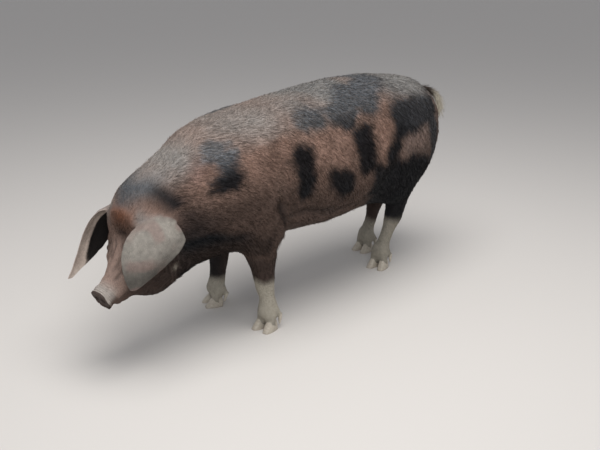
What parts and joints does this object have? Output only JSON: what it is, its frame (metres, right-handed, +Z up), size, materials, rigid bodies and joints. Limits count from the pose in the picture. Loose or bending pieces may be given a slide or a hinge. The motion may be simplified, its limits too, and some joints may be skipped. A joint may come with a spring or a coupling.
{
  "type": "standing lop-eared pig",
  "caption": "Life-size still model of a large lop-eared pig with a bristly patched coat, standing on its hooves with its head lowered.",
  "frame": {"origin": "on the floor, under the middle of the whole animal's footprint box", "axes": "+Z up, +Y from the snout to the tail along the body, +X to the pig's own left side"},
  "size_m": [0.5412, 1.9298, 0.8794],
  "materials": {
    "coat": "short coarse bristles, red-brown with blue-black patches, pale feet",
    "bare_skin": "thin-haired matte skin, grey-pink",
    "hoof_horn": "worn pale horn",
    "eye": "wet, dark brown"
  },
  "bodies": {
    "root": {"hoof_fore_left_outer": "hoof_horn", "dewclaw_fore_left_outer": "hoof_horn", "hoof_fore_left_inner": "hoof_horn", "dewclaw_fore_left_inner": "hoof_horn", "hoof_fore_right_inner": "hoof_horn", "dewclaw_fore_right_inner": "hoof_horn", "hoof_fore_right_outer": "hoof_horn", "dewclaw_fore_right_outer": "hoof_horn", "hoof_hind_left_outer": "hoof_horn", "dewclaw_hind_left_outer": "hoof_horn", "hoof_hind_left_inner": "hoof_horn", "dewclaw_hind_left_inner": "hoof_horn", "hoof_hind_right_inner": "hoof_horn", "dewclaw_hind_right_inner": "hoof_horn", "hoof_hind_right_outer": "hoof_horn", "dewclaw_hind_right_outer": "hoof_horn", "leg_fore_left": "coat", "foot_fore_left": "coat", "leg_fore_right": "coat", "foot_fore_right": "coat", "leg_hind_left": "coat", "ham_left": "coat", "foot_hind_left": "coat", "leg_hind_right": "coat", "ham_right": "coat", "foot_hind_right": "coat", "neck": "coat", "eye_left": "eye", "eye_right": "eye", "head": "coat", "ear_left": "bare_skin", "ear_right": "bare_skin", "snout": "bare_skin", "trunk": "coat", "tail": "coat"}
  },
  "joints": []
}
